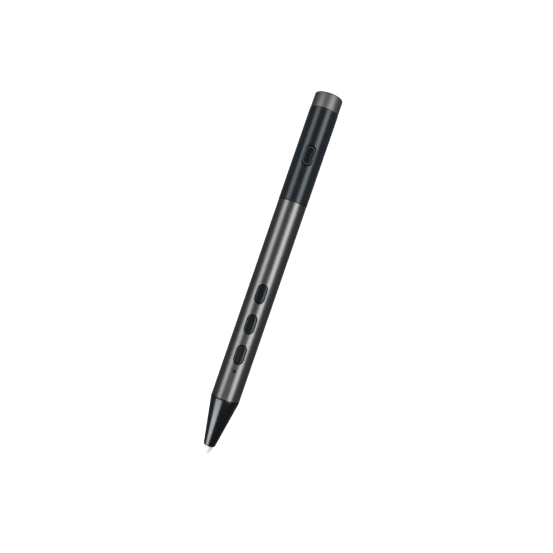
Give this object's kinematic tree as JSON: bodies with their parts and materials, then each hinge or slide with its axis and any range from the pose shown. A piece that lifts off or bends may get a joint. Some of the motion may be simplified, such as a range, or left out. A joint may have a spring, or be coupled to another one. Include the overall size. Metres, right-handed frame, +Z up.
{
  "type": "3d printing pen",
  "caption": "Slim round 3D printing pen lying on its side, with a tapered nose and ceramic nozzle, press keys on the barrel and a recessed power key on the rear sleeve.",
  "frame": {"origin": "on the surface the pen lies on, under the middle of its length and width", "axes": "+X along the pen from the nozzle towards the tail, +Z up out of the keys, +Y across the pen"},
  "size_m": [0.1706, 0.0134, 0.0135],
  "materials": {
    "aluminium": "machined",
    "battery_wrap": "blue heat-shrink sleeve",
    "black_gloss": "semi-gloss black",
    "black_satin": "satin black",
    "board_green": "green solder mask",
    "brass": "machined",
    "bronze": "sintered bronze",
    "button_black": "fine satin black",
    "ceramic": "smooth unglazed white",
    "chip_black": "moulded black",
    "flex_amber": "amber polyimide film",
    "frame_grey": "glass-filled grey",
    "gunmetal": "bead-blasted, gunmetal anodised",
    "gunmetal_cap": "bead-blasted, darker gunmetal anodised",
    "light_pipe": "smoked clear, unlit",
    "steel": "plain steel",
    "tube_white": "white fluoropolymer tube",
    "wire_black": "black insulation",
    "wire_red": "red insulation",
    "wire_white": "white glass-fibre sleeving"
  },
  "bodies": {
    "casing": {"barrel": "gunmetal", "battery_cell": "battery_wrap", "board_screw_1": "steel", "board_screw_2": "steel", "charge_board": "board_green", "cold_end": "aluminium", "control_board": "board_green", "controller_chip": "chip_black", "driver_chip": "chip_black", "extrude_switch": "chip_black", "front_bush": "bronze", "front_guide_tube": "tube_white", "gearbox_case": "brass", "heat_break": "steel", "heater_lead_1": "wire_white", "heater_lead_2": "wire_white", "heater_sleeve": "aluminium", "idler_pivot_pin": "steel", "idler_spring": "steel", "inlet_bush": "black_gloss", "inner_chassis": "frame_grey", "light_pipe": "light_pipe", "motor_can": "steel", "motor_end_cap": "chip_black", "motor_lead_1": "wire_red", "motor_lead_2": "wire_black", "nose_cone": "black_gloss", "nozzle": "ceramic", "nozzle_nut": "brass", "power_bezel": "black_satin", "power_board": "board_green", "power_flex": "flex_amber", "power_switch": "chip_black", "rear_bush": "bronze", "rear_carrier": "frame_grey", "rear_guide_tube": "tube_white", "retract_switch": "chip_black", "socket_shell": "steel", "socket_tongue": "chip_black", "speed_switch": "chip_black", "status_led": "ceramic", "tail_cap": "gunmetal_cap", "thermistor": "wire_black", "upper_sleeve": "black_satin"},
    "extrude_key": {"extrude_button": "button_black", "extrude_plunger": "steel"},
    "retract_key": {"retract_button": "button_black", "retract_plunger": "steel"},
    "speed_key": {"speed_button": "button_black", "speed_plunger": "steel"},
    "power_key": {"power_button": "button_black", "power_plunger": "steel"},
    "screw_shaft": {"feed_screw": "steel", "screw_gear": "brass"},
    "motor_shaft": {"gearbox_shaft": "steel", "drive_pinion": "brass"},
    "idler": {"idler_arm": "frame_grey", "idler_axle": "steel"},
    "roller": {"idler_roller": "steel"}
  },
  "joints": [
    {"name": "extrude_press", "type": "slide", "parent": "casing", "child": "extrude_key", "axis": [0, 0, -1], "range_m": [0, 0.0003], "stiffness_N_per_m": 4000, "springref_m": -0.0002},
    {"name": "retract_press", "type": "slide", "parent": "casing", "child": "retract_key", "axis": [0, 0, -1], "range_m": [0, 0.0003], "stiffness_N_per_m": 4000, "springref_m": -0.0002},
    {"name": "speed_press", "type": "slide", "parent": "casing", "child": "speed_key", "axis": [0, 0, -1], "range_m": [0, 0.0003], "stiffness_N_per_m": 4000, "springref_m": -0.0002},
    {"name": "power_press", "type": "slide", "parent": "casing", "child": "power_key", "axis": [0, 0, -1], "range_m": [0, 0.0003], "stiffness_N_per_m": 4000, "springref_m": -0.0002},
    {"name": "feed_screw_spin", "type": "hinge", "parent": "casing", "child": "screw_shaft", "pos_m": [0.00265, -0.0001, 0.00667], "axis": [1, 0, 0], "continuous": true},
    {"name": "motor_shaft_spin", "type": "hinge", "parent": "casing", "child": "motor_shaft", "pos_m": [0.0087, -0.0026, 0.00667], "axis": [1, 0, 0], "continuous": true},
    {"name": "idler_swing", "type": "hinge", "parent": "casing", "child": "idler", "pos_m": [0.00485, 0.0041, 0.00667], "axis": [0, 0, -1], "range_deg": [0, 4], "stiffness_Nm_per_rad": 0.03, "springref_deg": -8.59},
    {"name": "idler_roller_spin", "type": "hinge", "parent": "idler", "child": "roller", "pos_m": [0.00185, 0.0041, 0.00667], "axis": [0, 0, -1], "continuous": true}
  ],
  "couplings": [
    {"joint": "motor_shaft_spin", "follows": "feed_screw_spin", "ratio": -0.92308},
    {"joint": "idler_roller_spin", "follows": "feed_screw_spin", "ratio": 0.14147}
  ]
}
